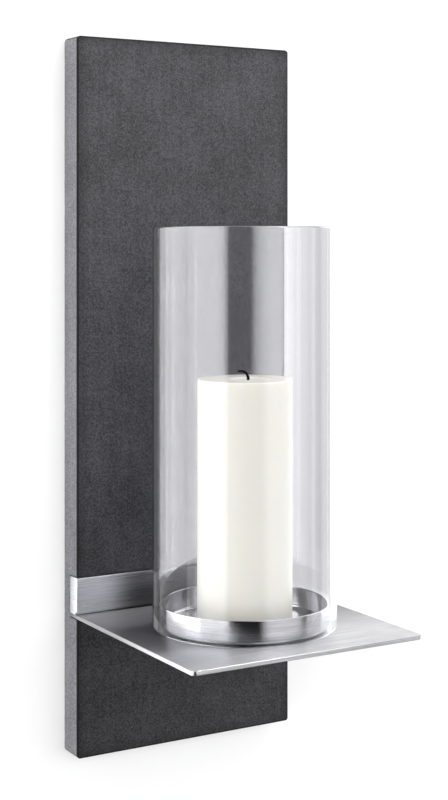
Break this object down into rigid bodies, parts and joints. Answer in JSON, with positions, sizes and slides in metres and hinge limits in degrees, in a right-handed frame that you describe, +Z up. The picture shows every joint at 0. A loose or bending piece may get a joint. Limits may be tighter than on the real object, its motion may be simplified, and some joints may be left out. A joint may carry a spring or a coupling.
{
  "type": "wall sconce candle holder",
  "caption": "Wall sconce: a stone panel with a steel shelf let into it, a drip tray and an open glass cylinder round a pillar candle.",
  "frame": {"origin": "centre of the stone panel's back face, which lies on the wall", "axes": "+Z up, +Y into the wall, so the front faces -Y; +X to the right as seen from the room"},
  "size_m": [0.1526, 0.1615, 0.44],
  "materials": {
    "cast_stone": "honed dark grey cast stone, fine speckle",
    "brushed_stainless": "brushed stainless steel",
    "zinc_plated": "zinc-plated steel fixings",
    "brass_insert": "turned brass",
    "clear_glass": "clear glass with fire-polished rims",
    "candle_wax": "ivory white paraffin wax",
    "cotton_wick": "burnt braided cotton"
  },
  "bodies": {
    "wall_unit": {"back_panel": "cast_stone", "mounting_bar": "brushed_stainless", "shelf_plate": "brushed_stainless", "plate_screws": "zinc_plated", "bracket_screws": "zinc_plated", "bracket_washers": "zinc_plated", "drip_tray": "brushed_stainless", "tray_stud": "zinc_plated", "tray_washer": "zinc_plated", "tray_nut": "zinc_plated", "hanger_plate_left": "zinc_plated", "hanger_plate_right": "zinc_plated", "hanger_screws": "zinc_plated", "hanger_inserts": "brass_insert"},
    "glass": {"glass_cylinder": "clear_glass"},
    "pillar_candle": {"candle": "candle_wax", "wick": "cotton_wick", "wick_sustainer": "zinc_plated"}
  },
  "joints": [
    {"name": "glass_lift", "type": "slide", "parent": "wall_unit", "child": "glass", "axis": [0, 0, 1], "range_m": [0, 0.165]},
    {"name": "candle_lift", "type": "slide", "parent": "wall_unit", "child": "pillar_candle", "axis": [0, 0, 1], "range_m": [0, 0.24]}
  ]
}
